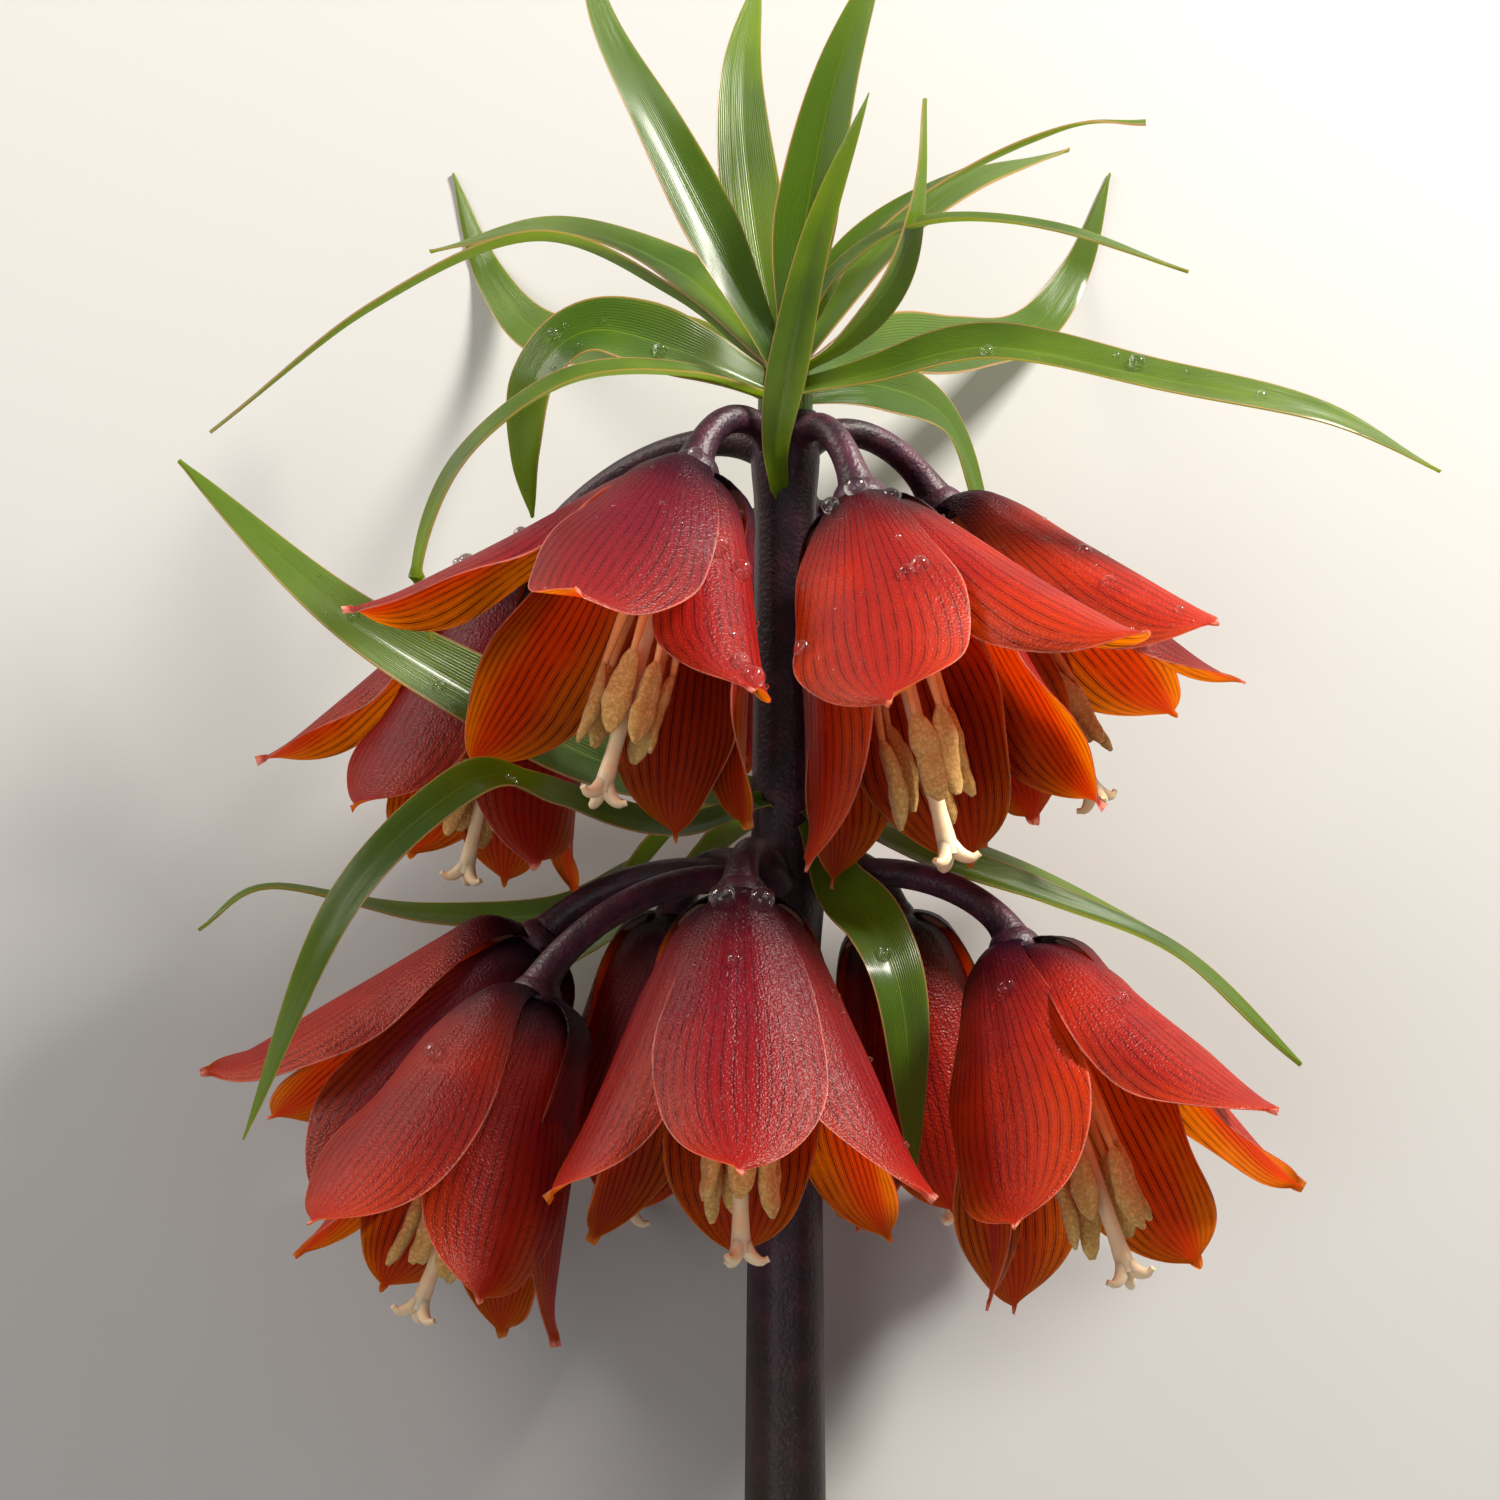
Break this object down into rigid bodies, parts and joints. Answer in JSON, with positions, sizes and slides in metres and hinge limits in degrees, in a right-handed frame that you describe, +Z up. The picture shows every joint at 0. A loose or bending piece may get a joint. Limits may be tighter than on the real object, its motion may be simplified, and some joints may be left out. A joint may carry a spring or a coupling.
{
  "type": "crown imperial fritillary",
  "caption": "Picked crown imperial lying on its side: nodding red bell flowers with stamens inside, on a dark stem with slender green leaves and a leafy tuft.",
  "frame": {"origin": "middle of the object's bounding box at the surface it lies on", "axes": "+Y along the stem from the cut end towards the leafy tuft, +X to the right seen from above with the tuft at the top, +Z up from the surface"},
  "size_m": [0.1998, 0.3058, 0.1241],
  "materials": {
    "petal": "soft satin petal, crimson to purple outside with a pale sheen, orange-red with dark fan veins inside",
    "stamen": "smooth cream filaments and style, powdery ochre anthers",
    "leaf": "glossy green leaf with parallel veins and a thin pink margin",
    "stem": "satin near-black purple stem, finely textured"
  },
  "bodies": {
    "root": {"flower_stem": "stem", "crown_leaves": "leaf", "bell_top_front_left": "petal", "stamens_top_front_left": "stamen", "bell_top_front_right": "petal", "stamens_top_front_right": "stamen", "bell_top_right": "petal", "stamens_top_right": "stamen", "bell_top_left": "petal", "stamens_top_left": "stamen", "bell_top_rear": "petal", "stamens_top_rear": "stamen", "bell_lower_front": "petal", "stamens_lower_front": "stamen", "bell_lower_left": "petal", "stamens_lower_left": "stamen", "bell_lower_front_left": "petal", "stamens_lower_front_left": "stamen", "bell_lower_right": "petal", "stamens_lower_right": "stamen", "bell_lower_rear_right": "petal", "stamens_lower_rear_right": "stamen", "bell_lower_rear_left": "petal", "stamens_lower_rear_left": "stamen", "leaf_top_front": "leaf", "leaf_far_left": "leaf", "leaf_left": "leaf", "leaf_arching": "leaf", "leaf_front_right": "leaf", "leaf_right": "leaf", "leaf_rear_right": "leaf", "leaf_rear_left": "leaf"}
  },
  "joints": []
}
